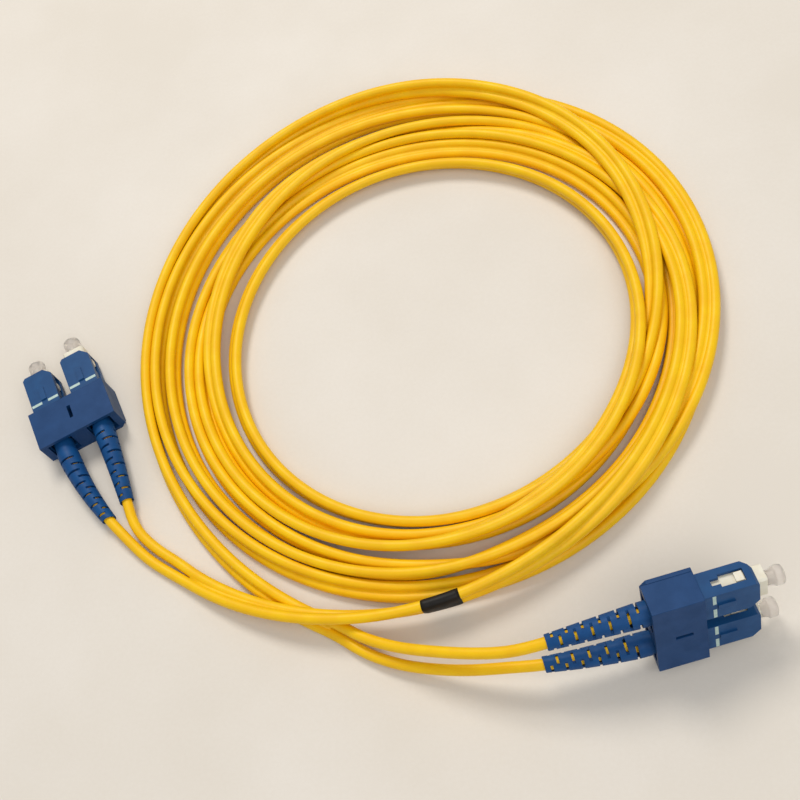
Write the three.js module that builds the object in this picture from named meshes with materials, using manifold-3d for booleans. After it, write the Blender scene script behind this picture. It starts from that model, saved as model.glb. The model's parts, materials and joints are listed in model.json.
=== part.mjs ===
// Duplex SC-SC fibre optic patch cord, lying on a table: a loose coil of yellow
// twin cord with a pair of clipped SC plugs at each end.
// Millimetres, +Z up. Z = 0 is the surface that the cord and its plugs lie on.
//
// Each plug is drawn in its own axes: x across the pair, y towards the key,
// z towards the nose, with z = 0 at the front face of the duplex clip.

import * as THREE from 'three';
import { mergeVertices } from 'three/addons/utils/BufferGeometryUtils.js';
import Module from 'manifold-3d';

const wasm = await Module();
wasm.setup();

// ---------------------------------------------------------------- dimensions

const GAP = 0.3; // clearance between pieces that touch or slide

const PITCH = 12.7; // spacing of the two plugs in a duplex clip

const HOUSING = { width: 9.0, height: 7.4, rear: -11.5, front: 13.6, wall: 0.9 };
const HOUSING_REAR_BORE = { height: 6.4, front: -6.0 };
const KEY_RIB = { width: 1.8, height: 0.5, rear: 3.3, front: 7.6 };
const WINDOW = { height: 3.6, rear: 5.2, front: 11.2 };
const WINDOW_TAIL = { height: 1.8, rear: 3.1 };
const NOSE_CHAMFER = 2.2; // at the corner nearest the other key side
const NOSE_CORNER = 0.8; // at the opposite corner

const FRAME = { width: 6.6, height: 5.0, corner: 0.5, rear: -6.5, front: 15.9 };
const SPRING_CHAMBER = { radius: 2.1, front: 9.0 };
const FERRULE_PASSAGE = { radius: 1.6, front: 13.9 };
const FRAME_MOUTH_RADIUS = 2.2;
const LATCH = { reach: 4.2, height: 2.7, rear: 8.9, front: 10.9 };

const FERRULE = { radius: 1.25, rear: 7.9, front: 18.4, chamfer: 0.4 };
const FLANGE = { radius: 1.85, tailRadius: 1.15, boreRadius: 0.75, tail: 2.5, rear: 6.2, front: 8.7 };

const SPRING = { radius: 1.65, wire: 0.2, rear: -3.0, front: 5.7, turns: 6, stepsPerTurn: 8 };

const STOP = { noseRadius: 1.9, flangeRadius: 2.4, tailRadius: 1.7, boreRadius: 0.9 };
const STOP_Z = { front: -3.5, flangeFront: -6.8, flangeRear: -8.0, rear: -12.6 };

const CRIMP = { radius: 2.25, frontBore: 2.0, rearBore: 1.8, front: -8.3, step: -12.9, rear: -14.7 };

const BOOT = { neckRadius: 2.9, rootRadius: 3.15, tipRadius: 2.1, front: -9.5, tip: -39.3 };
const BOOT_ROOT = { front: -12.9, flare: -13.5, taper: -17.3 };
const BOOT_BORE = { frontRadius: 2.55, cordRadius: 1.85, step: -18.7, stepEnd: -19.9 };
// From the root to the tip the slots' spacing falls from its first value.
const BOOT_SLOT = { first: -16.4, spacing: 2.4, narrowing: 0.07, pairs: 11, width: 0.7, depth: 1.4 };
const BOOT_RINGS = 5; // rings of corners that let the boot bend
const BOOT_BEND = { start: -12.5, slope: 0.25, curl: 0.75 };

const CAP = { skirtRadius: 1.85, flareRadius: 2.15, radius: 2.5, boreRadius: 1.55, boreEnd: 18.9 };
const CAP_Z = { rear: 16.5, skirt: 17.0, flare: 18.0, full: 18.3, round: 19.8, front: 20.9 };
const CAP_CROWN = [[2.2, 20.4], [1.38, 20.78]]; // radius and z, from the rounding to the front

const CLIP = { width: 24.6, top: 5.0, bottom: -5.0, rear: -12.8, coverTop: -4.0, rearWall: 1.0 };
const CLIP_SLOT = { width: 1.1, rear: -7.8, front: -3.5, depth: 3.0 };
const CLIP_PEG = { radius: 0.8, top: -1.0, z: [-2.2, -9.9] };
const BOOT_OPENING = { width: 7.6, top: 3.8 };
const COVER_CHAMFER = 1.6;

const LEG_RADIUS = 1.5; // one leg of the twin cord
const LEG_FRONT = -13.2; // where its jacket ends, inside the crimp sleeve
const FIBRE = { radius: 0.45, front: 5.0, rear: -12.9 };

const LEAD_RADIUS = 2.0; // a round bar as thick as the 3 x 6 mm twin cord
const BAND = { boreRadius: 2.45, radius: 3.0, length: 10.0 };

// Where each clip's front face lies, and which way its plugs point (degrees).
const ENDS = {
  a: { at: [-91.05, 33.66, 5.0], heading: 114.8, pitch: 0, roll: 0 },
  b: { at: [86.45, -45.04, 13.184], heading: 14.5, pitch: -4.5, roll: 73 },
};

// Where each plug lies across its clip, and how far its inner parts have slid
// forward in its housing. Its boot is pushed forward by the seat and turned
// (degrees), and the boot's tip leans this far along the plug's x and y.
const PLUGS = {
  a1: { x: PITCH / 2, slid: -1.8, seat: 0, turn: 22, lean: [-4.5, -1.5] },
  a2: { x: -PITCH / 2, slid: 0, seat: 0.8, turn: 0, lean: [1.6, -1.5] },
  b1: { x: PITCH / 2, slid: 0, seat: 1.7, turn: 98, lean: [-4.0, -2.6] },
  b2: { x: -PITCH / 2, slid: -1.8, seat: 1.7, turn: 45, lean: [-0.5, -3.0] },
};

// The cord's uncoiled stretches. Each leg runs from its boot to where the twin
// cord divides, and each lead from there to the coil.
const LEG_ROUTES = {
  a1: [
    [-70.6, -9.5, 2.7], [-63.2, -16.5, 1.7], [-55.4, -21.6, 1.6],
  ],
  a2: [
    [-67.9, -6.5, 2.7], [-61.3, -13.3, 1.7], [-53.4, -18.6, 1.6],
  ],
  b1: [
    [40.9, -52.6, 16.2], [30.9, -51.9, 13.8], [20.6, -50.1, 11], [10.1, -47.4, 7.4], [-0.5, -43.2, 4.8],
    [-6.3, -39.6, 3.6],
  ],
  b2: [
    [39.8, -54.5, 8.3], [29.6, -54.2, 6.3], [19.4, -52.9, 4.2], [9, -50.5, 2.7], [-1.3, -46, 1.7],
    [-7, -42.1, 1.6],
  ],
};
const LEAD_A = [
  [-53.9, -20.2, 2.1], [-46.8, -25.3, 2.1], [-38.8, -30.1, 2.3], [-30.8, -34.1, 3.2], [-22.8, -37.4, 5.6],
  [-15.8, -38.9, 7.2], [-8.8, -39.3, 7.9], [0.2, -38.8, 6.0], [9.2, -37.1, 4.2], [16.6, -35.7, 3.3],
  [21.4, -34.3, 3.3], [26.2, -32.7, 3.5], [34.2, -29.1, 4.6], [42.5, -24.8, 6.2],
];
const LEAD_B = [
  [-7.4, -40.5, 3.2], [-11.8, -37.6, 2.2], [-17.8, -33.7, 2.1], [-24.8, -28.8, 2.1], [-31.8, -22.3, 2.2],
  [-36.8, -15.9, 2.4], [-40.8, -10.2, 2.6],
];
const BAND_FROM = [16.7, -35.67, 3.3];
const BAND_TOWARDS = [26.1, -32.74, 3.5];

const COIL = { at: [15.7, 51.3], innerRadius: 57.5, outerRadius: 83.5, height: 9.0, edge: 3.0 };

// How finely the round pieces are divided.
const SIDES = { turned: 12, cord: 8, wire: 5, fibre: 6, coil: 56 };
const STEPS = { legInBoot: 8, leg: 16, lead: 16, leadSpace: 18 };

// ---------------------------------------------------------------- materials

const LOOKS = {
  housing: { color: 0x1f5f96, roughness: 0.38 },
  clip: { color: 0x1d4f86, roughness: 0.45 },
  boot: { color: 0x1a5e99, roughness: 0.6 },
  frame: { color: 0xe9e6d6, roughness: 0.45 },
  ceramic: { color: 0xf2f0ea, roughness: 0.2 },
  steel: { color: 0xb9bcc0, roughness: 0.3, metalness: 1.0 },
  nickel: { color: 0xc9c2ae, roughness: 0.3, metalness: 1.0 },
  cap: { color: 0xe8dcd6, roughness: 0.35, transparent: true, opacity: 0.6 },
  fibre: { color: 0xf1ead8, roughness: 0.5 },
  jacket: { color: 0xf0b818, roughness: 0.45 },
  band: { color: 0x17130f, roughness: 0.6 },
};

// ---------------------------------------------------------------- solid tools

function toSolid(geometry) {
  const bare = geometry.clone();
  bare.deleteAttribute('normal');
  bare.deleteAttribute('uv');
  const merged = mergeVertices(bare, 1e-4);
  const vertProperties = new Float32Array(merged.attributes.position.array);
  const triVerts = new Uint32Array(merged.index.array);
  return new wasm.Manifold(new wasm.Mesh({ numProp: 3, vertProperties, triVerts }));
}

function toGeometry(solid) {
  const mesh = solid.getMesh();
  const geometry = new THREE.BufferGeometry();
  geometry.setAttribute('position', new THREE.BufferAttribute(new Float32Array(mesh.vertProperties), 3));
  geometry.setIndex(new THREE.BufferAttribute(new Uint32Array(mesh.triVerts), 1));
  geometry.computeVertexNormals();
  return geometry;
}

function cut(body, ...tools) {
  return tools.reduce((rest, tool) => rest.subtract(tool), body);
}

function block(x0, x1, y0, y1, z0, z1) {
  const box = new THREE.BoxGeometry(x1 - x0, y1 - y0, z1 - z0);
  box.translate((x0 + x1) / 2, (y0 + y1) / 2, (z0 + z1) / 2);
  return toSolid(box);
}

// A block centred on the plug's axis.
function centred(width, height, z0, z1) {
  return block(-width / 2, width / 2, -height / 2, height / 2, z0, z1);
}

// A profile of [radius, z] pairs turned about the plug's axis.
function turned(profile, sides = SIDES.turned) {
  const points = profile.map(([r, z]) => new THREE.Vector2(r, z));
  const lathe = new THREE.LatheGeometry(points, sides);
  lathe.rotateX(Math.PI / 2);
  return toSolid(lathe);
}

function rod(radius, z0, z1, sides = SIDES.turned) {
  return turned([[0, z0], [radius, z0], [radius, z1], [0, z1]], sides);
}

function polygon(radius, sides) {
  const corners = [];
  for (let i = 0; i < sides; i += 1) {
    const angle = (i / sides) * 2 * Math.PI;
    corners.push(new THREE.Vector2(radius * Math.cos(angle), radius * Math.sin(angle)));
  }
  return new THREE.Shape(corners);
}

function tube(points, radius, sides, steps) {
  const extrudePath = new THREE.CatmullRomCurve3(points);
  return new THREE.ExtrudeGeometry(polygon(radius, sides), { steps, extrudePath, bevelEnabled: false });
}

// A square bar turned by 45 degrees, centred on an edge: cutting with it
// chamfers the edge at x = u that runs along y, or at y = u that runs along x.
function chamferBar(axis, u, z, size) {
  const side = size * Math.SQRT2;
  const length = 2 * CLIP.width;
  if (axis === 'x') {
    const bar = new THREE.BoxGeometry(side, length, side);
    return toSolid(bar.rotateY(Math.PI / 4).translate(u, 0, z));
  }
  const bar = new THREE.BoxGeometry(length, side, side);
  return toSolid(bar.rotateX(Math.PI / 4).translate(0, u, z));
}

// ---------------------------------------------------------------- plug pieces

function outerHousing() {
  const { width, height, rear, front, wall } = HOUSING;
  const inner = width - 2 * wall;
  const outline = centred(width, height, rear, front);
  const ribHalf = KEY_RIB.width / 2;
  const ribTop = height / 2 + KEY_RIB.height;
  const rib = block(-ribHalf, ribHalf, 0, ribTop, KEY_RIB.rear, KEY_RIB.front);
  return cut(
    outline.add(rib),
    centred(inner, height - 2 * wall, rear - 1, front + 1),
    centred(inner, HOUSING_REAR_BORE.height, rear - 1, HOUSING_REAR_BORE.front),
    centred(width + 2, WINDOW.height, WINDOW.rear, WINDOW.front),
    centred(width + 2, WINDOW_TAIL.height, WINDOW_TAIL.rear, WINDOW.front),
    chamferBar('x', -width / 2, front, NOSE_CHAMFER),
    chamferBar('x', width / 2, front, NOSE_CORNER),
    chamferBar('y', -height / 2, front, NOSE_CHAMFER),
  );
}

function plugFrame() {
  const { width, height, corner, rear, front } = FRAME;
  const [x, y] = [width / 2, height / 2];
  const outline = new THREE.Shape([
    new THREE.Vector2(x - corner, -y), new THREE.Vector2(x, corner - y),
    new THREE.Vector2(x, y - corner), new THREE.Vector2(x - corner, y),
    new THREE.Vector2(corner - x, y), new THREE.Vector2(-x, y - corner),
    new THREE.Vector2(-x, corner - y), new THREE.Vector2(corner - x, -y),
  ]);
  const bar = new THREE.ExtrudeGeometry(outline, { depth: front - rear, bevelEnabled: false });
  bar.translate(0, 0, rear);
  const latch = centred(2 * LATCH.reach, LATCH.height, LATCH.rear, LATCH.front);
  return cut(
    toSolid(bar).add(latch),
    rod(SPRING_CHAMBER.radius, rear - 1, SPRING_CHAMBER.front),
    rod(FERRULE_PASSAGE.radius, SPRING_CHAMBER.front - 1, FERRULE_PASSAGE.front + 1),
    rod(FRAME_MOUTH_RADIUS, FERRULE_PASSAGE.front, front + 1),
  );
}

function ferrule() {
  const { radius, rear, front, chamfer } = FERRULE;
  const tip = radius - chamfer;
  return turned([[0, rear], [radius, rear], [radius, front - chamfer], [tip, front], [0, front]]);
}

function ferruleFlange() {
  const { radius, tailRadius, boreRadius, tail, rear, front } = FLANGE;
  const cupRadius = FERRULE.radius + GAP;
  const cupFloor = FERRULE.rear - GAP;
  return turned([
    [boreRadius, tail], [tailRadius, tail], [tailRadius, rear], [radius, rear], [radius, front],
    [cupRadius, front], [cupRadius, cupFloor], [boreRadius, cupFloor], [boreRadius, tail],
  ]);
}

class Helix extends THREE.Curve {
  getPoint(t, target = new THREE.Vector3()) {
    const angle = 2 * Math.PI * SPRING.turns * t;
    const z = SPRING.rear + t * (SPRING.front - SPRING.rear);
    return target.set(SPRING.radius * Math.cos(angle), SPRING.radius * Math.sin(angle), z);
  }
}

function ferruleSpring() {
  const steps = SPRING.stepsPerTurn * SPRING.turns;
  const settings = { steps, extrudePath: new Helix(), bevelEnabled: false };
  return toSolid(new THREE.ExtrudeGeometry(polygon(SPRING.wire, SIDES.wire), settings));
}

function stopRing() {
  const { noseRadius, flangeRadius, tailRadius, boreRadius } = STOP;
  const { front, flangeFront, flangeRear, rear } = STOP_Z;
  return turned([
    [boreRadius, rear], [tailRadius, rear], [tailRadius, flangeRear], [flangeRadius, flangeRear],
    [flangeRadius, flangeFront], [noseRadius, flangeFront], [noseRadius, front],
    [boreRadius, front], [boreRadius, rear],
  ]);
}

function crimpSleeve() {
  const { radius, frontBore, rearBore, front, step, rear } = CRIMP;
  return turned([
    [rearBore, rear], [radius, rear], [radius, front], [frontBore, front],
    [frontBore, step], [rearBore, step], [rearBore, rear],
  ]);
}

// Paired slots let the boot flex. Every second pair is turned by a right angle.
function bootSlots() {
  const { first, spacing, narrowing, pairs, width, depth } = BOOT_SLOT;
  const reach = 2 * BOOT.rootRadius;
  const slots = [];
  for (let pair = 0; pair < pairs; pair += 1) {
    const z = first - pair * spacing + (narrowing * pair * (pair - 1)) / 2;
    const turn = pair % 2 === 0 ? 45 : 135;
    for (const side of [0, 180]) {
      const slot = new THREE.BoxGeometry(reach, 2 * reach, width);
      slot.translate(depth + reach / 2, 0, z - width / 2);
      slots.push(toSolid(slot.rotateZ(THREE.MathUtils.degToRad(turn + side))));
    }
  }
  return slots;
}

// How far a boot, and the leg inside it, has leant at z. It starts straight
// and bends more towards the tip.
function leanAt(z, lean) {
  const { start, slope, curl } = BOOT_BEND;
  const t = Math.max(0, (start - z) / (start - BOOT.tip));
  return lean.map((atTip) => atTip * (slope * t + curl * t * t));
}

// Evenly spaced profile points from [r0, z0] to [r1, z1].
function ramp(r0, z0, r1, z1, count) {
  const points = [];
  for (let i = 0; i <= count; i += 1) {
    const t = i / count;
    points.push([r0 + t * (r1 - r0), z0 + t * (z1 - z0)]);
  }
  return points;
}

// The boot before it bends: a neck in the clip, a root, and a taper to the tip.
function straightBoot() {
  const { neckRadius, rootRadius, tipRadius, front, tip } = BOOT;
  const { frontRadius, cordRadius, step, stepEnd } = BOOT_BORE;
  return turned([
    ...ramp(tipRadius, tip, rootRadius, BOOT_ROOT.taper, BOOT_RINGS), [rootRadius, BOOT_ROOT.flare],
    [neckRadius, BOOT_ROOT.front], [neckRadius, front], [frontRadius, front], [frontRadius, step],
    ...ramp(cordRadius, stepEnd, cordRadius, tip, BOOT_RINGS), [tipRadius, tip],
  ]);
}

function boot({ seat, turn, lean }) {
  const geometry = toGeometry(cut(straightBoot(), ...bootSlots()));
  geometry.rotateZ(THREE.MathUtils.degToRad(turn)).translate(0, 0, seat);
  const { position } = geometry.attributes;
  for (let i = 0; i < position.count; i += 1) {
    const [dx, dy] = leanAt(position.getZ(i), lean);
    position.setX(i, position.getX(i) + dx);
    position.setY(i, position.getY(i) + dy);
  }
  geometry.computeVertexNormals();
  return geometry;
}

function dustCap() {
  const { skirtRadius, flareRadius, radius, boreRadius, boreEnd } = CAP;
  const { rear, skirt, flare, full, round, front } = CAP_Z;
  return turned([
    [0, boreEnd], [boreRadius, boreEnd], [boreRadius, rear], [skirtRadius, rear],
    [skirtRadius, skirt], [flareRadius, flare], [radius, full], [radius, round], ...CAP_CROWN,
    [0, front],
  ]);
}

function bufferedFibre() {
  return rod(FIBRE.radius, FIBRE.rear, FIBRE.front, SIDES.fibre);
}

// ---------------------------------------------------------------- duplex clip

// A round bar standing along the clip's y axis, in its middle web.
function webBar(radius, y0, y1, z) {
  const bar = new THREE.CylinderGeometry(radius, radius, y1 - y0, SIDES.turned);
  return toSolid(bar.translate(0, (y0 + y1) / 2, z));
}

function clipBody() {
  const half = CLIP.width / 2;
  const floor = CLIP.coverTop + GAP;
  const inner = HOUSING.width / 2 + GAP;
  const ceiling = HOUSING.height / 2 + GAP;
  const opening = BOOT_OPENING.width / 2;
  const slot = CLIP_SLOT.width / 2;
  const slotFloor = CLIP.top - CLIP_SLOT.depth;
  const hollows = [block(-slot, slot, slotFloor, CLIP.top + 1, CLIP_SLOT.rear, CLIP_SLOT.front)];
  for (const x of [-PITCH / 2, PITCH / 2]) {
    hollows.push(block(x - inner, x + inner, floor - 1, ceiling, CLIP.rear + CLIP.rearWall, 1));
    hollows.push(block(x - opening, x + opening, floor - 1, BOOT_OPENING.top, CLIP.rear - 1, 0));
  }
  for (const z of CLIP_PEG.z) {
    hollows.push(webBar(CLIP_PEG.radius + GAP, floor - 1, CLIP_PEG.top + GAP, z));
  }
  return cut(block(-half, half, floor, CLIP.top, CLIP.rear, 0), ...hollows);
}

function clipCover() {
  const half = CLIP.width / 2;
  const plate = cut(
    block(-half, half, CLIP.bottom, CLIP.coverTop, CLIP.rear, 0),
    chamferBar('x', -half, CLIP.rear, COVER_CHAMFER),
    chamferBar('x', half, CLIP.rear, COVER_CHAMFER),
  );
  const pegs = CLIP_PEG.z.map((z) => webBar(CLIP_PEG.radius, CLIP.coverTop - 0.5, CLIP_PEG.top, z));
  return pegs.reduce((cover, peg) => cover.add(peg), plate);
}

// ---------------------------------------------------------------- assembly

function mesh(name, look, shape) {
  const geometry = shape instanceof THREE.BufferGeometry ? shape : toGeometry(shape);
  const piece = new THREE.Mesh(geometry, new THREE.MeshStandardMaterial(LOOKS[look]));
  piece.name = name;
  return piece;
}

function plug(label) {
  const inner = new THREE.Group();
  inner.position.z = PLUGS[label].slid;
  inner.add(
    mesh(`plug_frame_${label}`, 'frame', plugFrame()),
    mesh(`ferrule_${label}`, 'ceramic', ferrule()),
    mesh(`ferrule_flange_${label}`, 'steel', ferruleFlange()),
    mesh(`ferrule_spring_${label}`, 'steel', ferruleSpring()),
    mesh(`stop_ring_${label}`, 'nickel', stopRing()),
    mesh(`crimp_sleeve_${label}`, 'nickel', crimpSleeve()),
    mesh(`boot_${label}`, 'boot', boot(PLUGS[label])),
    mesh(`dust_cap_${label}`, 'cap', dustCap()),
    mesh(`buffered_fibre_${label}`, 'fibre', bufferedFibre()),
  );
  const group = new THREE.Group();
  group.position.x = PLUGS[label].x;
  group.add(mesh(`outer_housing_${label}`, 'housing', outerHousing()), inner);
  return group;
}

// Turns the plug axes (x across, y up, z to the nose) to lie at the end's
// heading on the table, then rolled about the nose and pitched.
function endMatrix({ at, heading, pitch, roll }) {
  const radians = THREE.MathUtils.degToRad;
  const noseAlongX = new THREE.Matrix4().makeBasis(
    new THREE.Vector3(0, 1, 0), new THREE.Vector3(0, 0, 1), new THREE.Vector3(1, 0, 0),
  );
  return new THREE.Matrix4().makeTranslation(...at)
    .multiply(new THREE.Matrix4().makeRotationZ(radians(heading)))
    .multiply(new THREE.Matrix4().makeRotationY(radians(-pitch)))
    .multiply(new THREE.Matrix4().makeRotationX(radians(roll)))
    .multiply(noseAlongX);
}

function plugPair(label) {
  const group = new THREE.Group();
  group.applyMatrix4(endMatrix(ENDS[label]));
  group.add(
    plug(`${label}1`),
    plug(`${label}2`),
    mesh(`clip_body_${label}`, 'clip', clipBody()),
    mesh(`clip_cover_${label}`, 'clip', clipCover()),
  );
  return group;
}

// ---------------------------------------------------------------- cord

function vectors(points) {
  return points.map((point) => new THREE.Vector3(...point));
}

// The part of a leg inside its plug, from the crimp sleeve to the boot's tip.
function legInBoot(label) {
  const { x, slid, seat, lean } = PLUGS[label];
  const matrix = endMatrix(ENDS[label[0]]);
  const points = [];
  for (let i = 0; i <= STEPS.legInBoot; i += 1) {
    const z = LEG_FRONT + (i / STEPS.legInBoot) * (BOOT.tip - 1 + seat - LEG_FRONT);
    const [dx, dy] = leanAt(z, lean);
    points.push(new THREE.Vector3(x + dx, dy, z + slid).applyMatrix4(matrix));
  }
  return points;
}

function leg(label) {
  const points = [...legInBoot(label), ...vectors(LEG_ROUTES[label])];
  return mesh(`cord_leg_${label}`, 'jacket', tube(points, LEG_RADIUS, SIDES.cord, STEPS.leg));
}

function lead(name, route) {
  return mesh(name, 'jacket', tube(vectors(route), LEAD_RADIUS, SIDES.cord, STEPS.lead));
}

// Lays a piece that was made along +Z where the marker band is.
function atBand(piece) {
  const [from, towards] = vectors([BAND_FROM, BAND_TOWARDS]);
  const up = new THREE.Vector3(0, 0, 1);
  const turn = new THREE.Quaternion().setFromUnitVectors(up, towards.sub(from).normalize());
  return toGeometry(piece).applyQuaternion(turn).translate(from.x, from.y, from.z);
}

function band() {
  const { boreRadius, radius, length } = BAND;
  const sleeve = turned([
    [boreRadius, 0], [radius, 0], [radius, length], [boreRadius, length], [boreRadius, 0],
  ]);
  return mesh('marker_sleeve', 'band', atBand(sleeve));
}

// The room that a lead takes up, carried a little past its end in the coil.
function leadSpace(route) {
  const points = vectors(route);
  const [before, last] = points.slice(-2);
  points.push(last.clone().add(last.clone().sub(before).setLength(2 * GAP)));
  return toSolid(tube(points, LEAD_RADIUS + 1.5 * GAP, SIDES.cord, STEPS.leadSpace));
}

// The coil's outer shape, hollowed where the leads run in and the band lies.
function coil() {
  const { at, innerRadius: r0, outerRadius: r1, height: h, edge } = COIL;
  const ring = turned([
    [r0 + edge, 0], [r1 - edge, 0], [r1, edge], [r1, h - edge], [r1 - edge, h],
    [r0 + edge, h], [r0, h - edge], [r0, edge], [r0 + edge, 0],
  ], SIDES.coil);
  const placed = toSolid(toGeometry(ring).translate(at[0], at[1], 0));
  const bandSpace = toSolid(atBand(rod(BAND.radius + GAP, -GAP, BAND.length + GAP)));
  return mesh('cord_coil', 'jacket', cut(placed, leadSpace(LEAD_A), leadSpace(LEAD_B), bandSpace));
}

const patchCord = new THREE.Group();
patchCord.add(plugPair('a'), plugPair('b'));
for (const label of Object.keys(LEG_ROUTES)) {
  patchCord.add(leg(label));
}
patchCord.add(lead('cord_lead_a', LEAD_A), lead('cord_lead_b', LEAD_B), band(), coil());
patchCord.updateMatrixWorld(true);

export default patchCord;
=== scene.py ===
import json
import math

import bmesh
import bpy
import numpy as np
from mathutils import Matrix, Vector


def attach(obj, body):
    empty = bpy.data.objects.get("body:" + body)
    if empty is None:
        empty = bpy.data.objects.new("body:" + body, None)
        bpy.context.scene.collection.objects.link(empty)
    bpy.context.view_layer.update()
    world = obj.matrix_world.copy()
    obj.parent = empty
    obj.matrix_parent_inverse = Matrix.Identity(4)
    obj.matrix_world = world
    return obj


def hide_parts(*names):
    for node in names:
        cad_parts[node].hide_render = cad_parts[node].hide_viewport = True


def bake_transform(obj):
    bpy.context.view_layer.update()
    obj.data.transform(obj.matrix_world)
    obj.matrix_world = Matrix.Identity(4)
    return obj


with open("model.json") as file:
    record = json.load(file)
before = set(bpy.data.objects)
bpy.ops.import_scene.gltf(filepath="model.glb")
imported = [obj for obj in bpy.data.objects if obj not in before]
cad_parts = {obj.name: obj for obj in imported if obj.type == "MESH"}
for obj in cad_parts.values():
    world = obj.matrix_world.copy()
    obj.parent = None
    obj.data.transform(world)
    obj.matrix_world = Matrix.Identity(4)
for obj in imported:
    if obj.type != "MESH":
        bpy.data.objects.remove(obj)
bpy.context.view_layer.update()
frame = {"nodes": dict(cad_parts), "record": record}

MM = 0.001

# ------------------------------------------------------------------ plugs (mm, along the plug's own axes)
# x lies across the pair of plugs, y points to the key, z to the nose; z = 0 is the clip's front face.
PITCH = 12.7
FRAME_FACE_Z = 15.9
FACE_MOUNT_X = 2.8              # the record's plug faces are measured beside the bore
HOUSING_HEIGHT = 7.4
BOOT = {"neck": 2.9, "root": 3.15, "tip_radius": 2.1, "front": -9.5, "tip": -39.3}
BOOT_ROOT = {"front": -12.9, "flare": -13.5, "taper": -17.3}
BOOT_BORE = {"front": 2.55, "cord": 1.85, "step": -18.7, "step_end": -19.9}
BOOT_SLOT = {"first": -16.4, "spacing": 2.4, "narrowing": 0.07, "pairs": 11, "width": 0.7, "depth": 1.4}
BOOT_BEND = {"start": -12.5, "slope": 0.25, "curl": 0.75}
BOOT_TIP = {"ease": 0.1, "edge": 0.15, "lip": 0.5}
# Across the clip, how far the inner parts have slid forward, and how each boot is pushed, turned and leant.
PLUGS = {
    "a1": {"x": PITCH / 2, "slid": -1.8, "seat": 0, "turn": 22, "lean": (-4.5, -1.5)},
    "a2": {"x": -PITCH / 2, "slid": 0, "seat": 0.8, "turn": 0, "lean": (1.6, -1.5)},
    "b1": {"x": PITCH / 2, "slid": 0, "seat": 1.7, "turn": 98, "lean": (-4.0, -2.6)},
    "b2": {"x": -PITCH / 2, "slid": -1.8, "seat": 1.7, "turn": 45, "lean": (-0.5, -3.0)},
}
ENDS = ("a", "b")

# ------------------------------------------------------------------ cord (metres)
LEG = 0.003                     # diameter of one leg of the twin cord
LEG_FRONT_Z = -13.2             # mm along the plug: where the jacket ends, in the crimp sleeve
POINTS_IN_BOOT = 9
PAST_BOOT_TIP = 1               # mm
LEG_ROUTES = {
    "a1": [(-.0706, -.0095, .0027), (-.0632, -.0165, .0017), (-.0554, -.0216, .0016)],
    "a2": [(-.0679, -.0065, .0027), (-.0613, -.0133, .0017), (-.0534, -.0186, .0016)],
    "b1": [(.0409, -.0526, .0162), (.0309, -.0519, .0138), (.0206, -.0501, .0110), (.0101, -.0474, .0074),
           (-.0005, -.0432, .0048), (-.0063, -.0396, .0036)],
    "b2": [(.0398, -.0545, .0083), (.0296, -.0542, .0063), (.0194, -.0529, .0042), (.0090, -.0505, .0027),
           (-.0013, -.0460, .0017), (-.0070, -.0421, .0016)],
}
LEAD_A = [
    (-.0539, -.0202, .0021), (-.0468, -.0253, .0021), (-.0388, -.0301, .0023), (-.0308, -.0341, .0032),
    (-.0228, -.0374, .0056), (-.0158, -.0389, .0072), (-.0088, -.0393, .0079), (.0002, -.0388, .0060),
    (.0092, -.0371, .0042), (.0166, -.0357, .0033), (.0214, -.0343, .0033), (.0262, -.0327, .0035),
    (.0342, -.0291, .0046), (.0425, -.0248, .0062),
]
LEAD_B = [
    (-.0074, -.0405, .0032), (-.0118, -.0376, .0022), (-.0178, -.0337, .0021), (-.0248, -.0288, .0021),
    (-.0318, -.0223, .0022), (-.0368, -.0159, .0024), (-.0408, -.0102, .0026),
]
BAND_FROM = (.0167, -.03567, .0033)
BAND_LENGTH = 0.0100

# The coil: at four angles round it, each turn lies in a lane between the innermost and the outermost.
COIL_AT = (.0157, .0513)
STATIONS = 96                   # places round the coil where the turns are laid against each other
LANE_ANGLES = (0, 90, 180, 260)
LANE_INNER = (.0625, .0518, .0556, .0640)
LANE_OUTER = (.0836, .0822, .0840, .0820)
LAST_LANE = (6, 6, 6, 5)
TURN_LANES = ((4, 2, 3.2, 3.3), (6, 5, 5.4, 5.3), (5, 4, 4.3, 4.3), (3, 3, 1.3, 1.5), (2, 1, 2.3, 2.4),
              (0, 0, 0, 0), (1, 6, 6))
TOPMOST = {(-1, 3): 10, (2, 3): 9}   # stretches that pass over all the others they cross
LEAD_A_LANE = 6                 # the lane that lead A comes from
LAYER = 0.0058                  # height of the rolled pair
RISE_SHARE = 0.12               # of a stretch, in which it rises to its layer
SPACING = 0.0025                # between the finished centreline's points
CORD_BEVEL = 5                  # how finely a cord's section is rounded

# Over how many neighbouring places each of these is averaged.
RADIUS_WIDTH = 4
LIFT_WIDTH = 3
SETTLED_WIDTH = 2
FINISHED_WIDTH = 1

# How the turns settle: each round they sink, are drawn to their lanes, keep some of their planned roll,
# are evened out, and are pushed out of each other.
ROUNDS = 420
SINK = 0.00005                  # metres, in the first round
SINK_FADE = 0.7                 # the share of it that is gone by the last round
LANE_PULL = 0.06                # share of the way back to its lane
ROLL_GRIP = {"ends": 0.3, "middle": 0.02}       # share of the way back to its planned roll
EVENING = {"share": 0.5, "width": 3}
PUSHES = 2                      # a round
CLEARANCE = 1.01                # the distance kept, in leg diameters
CROWDING = 0.7                  # how far a leg that touches several others is slowed
HELD_ANGLE = 60                 # degrees past the last lane angle to which lead A keeps its height
SMALLEST = 1e-6                 # metres; keeps a distance that is divided by off zero


def eased_share(share):
    """A share held between 0 and 1, starting and ending gently."""
    held = np.clip(share, 0, 1)
    return held * held * (3 - 2 * held)


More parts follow.
